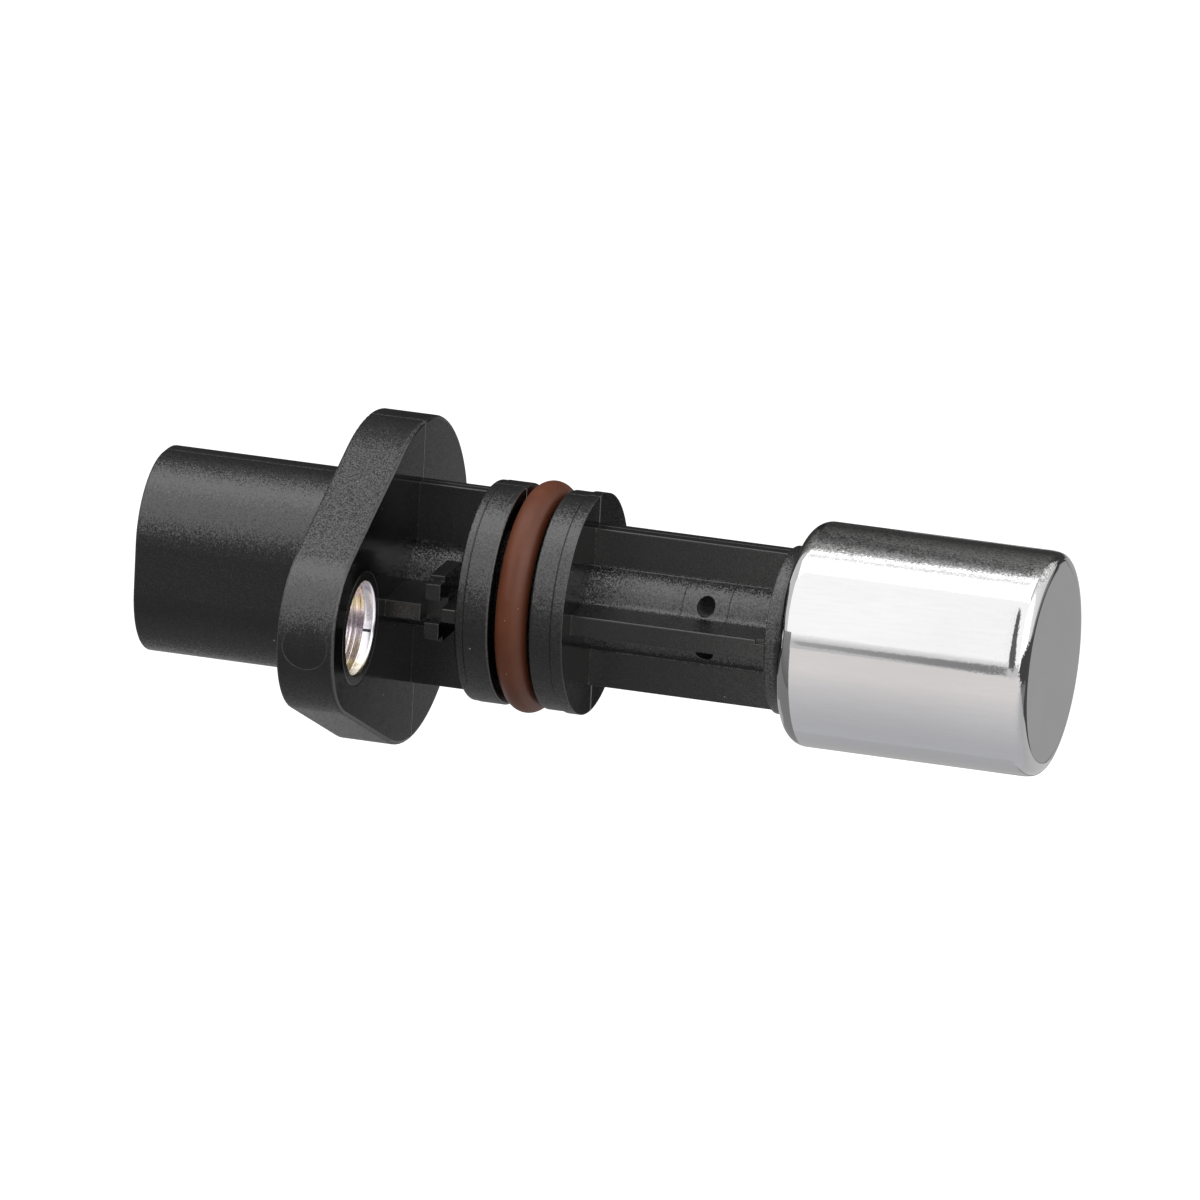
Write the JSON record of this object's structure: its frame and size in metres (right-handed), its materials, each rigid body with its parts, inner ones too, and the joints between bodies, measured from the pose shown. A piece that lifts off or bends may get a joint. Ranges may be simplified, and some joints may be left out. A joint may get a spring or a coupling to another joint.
{
  "type": "crankshaft position sensor",
  "caption": "Plug-in engine speed sensor: capped steel tip on a ribbed moulded stem, seal ring, flange with a bushed bolt ear, and a shrouded connector.",
  "frame": {"origin": "the point where the sensor's axis meets the plane of the flange's seating face", "axes": "+X along the sensor's axis towards the tip, -Y towards the bolt ear, +Z along the tall fins; the mould's parting plane is y = 0"},
  "size_m": [0.0872, 0.0411, 0.031],
  "materials": {
    "housing_plastic": "black glass-filled moulding with a fine spark-eroded grain",
    "carrier_plastic": "black moulding, slightly smoother than the housing",
    "plated_steel": "turned steel, zinc plated with a faint yellow and pink tint",
    "seal_rubber": "satin reddish brown seal rubber",
    "cap_steel": "drawn stainless steel, bright with fine brushed lines",
    "terminal_metal": "tin-plated copper alloy",
    "board_laminate": "green laminate",
    "chip_resin": "black moulded resin",
    "small_component": "fired tan body with plated ends",
    "magnet_metal": "nickel plated",
    "potting_resin": "dark cast resin"
  },
  "bodies": {
    "root": {"housing": "housing_plastic", "compression_limiter": "plated_steel", "o_ring": "seal_rubber", "tip_cap": "cap_steel", "element_carrier": "carrier_plastic", "terminal_supply": "terminal_metal", "terminal_signal": "terminal_metal", "terminal_ground": "terminal_metal", "circuit_board": "board_laminate", "signal_chip": "chip_resin", "protection_diode": "chip_resin", "pull_up_resistor": "small_component", "supply_capacitor": "small_component", "ground_capacitor": "small_component", "signal_capacitor": "small_component", "series_resistor": "small_component", "sensing_element_upper": "chip_resin", "sensing_element_lower": "chip_resin", "bias_magnet": "magnet_metal", "pole_plate": "plated_steel", "potting": "potting_resin"}
  },
  "joints": []
}
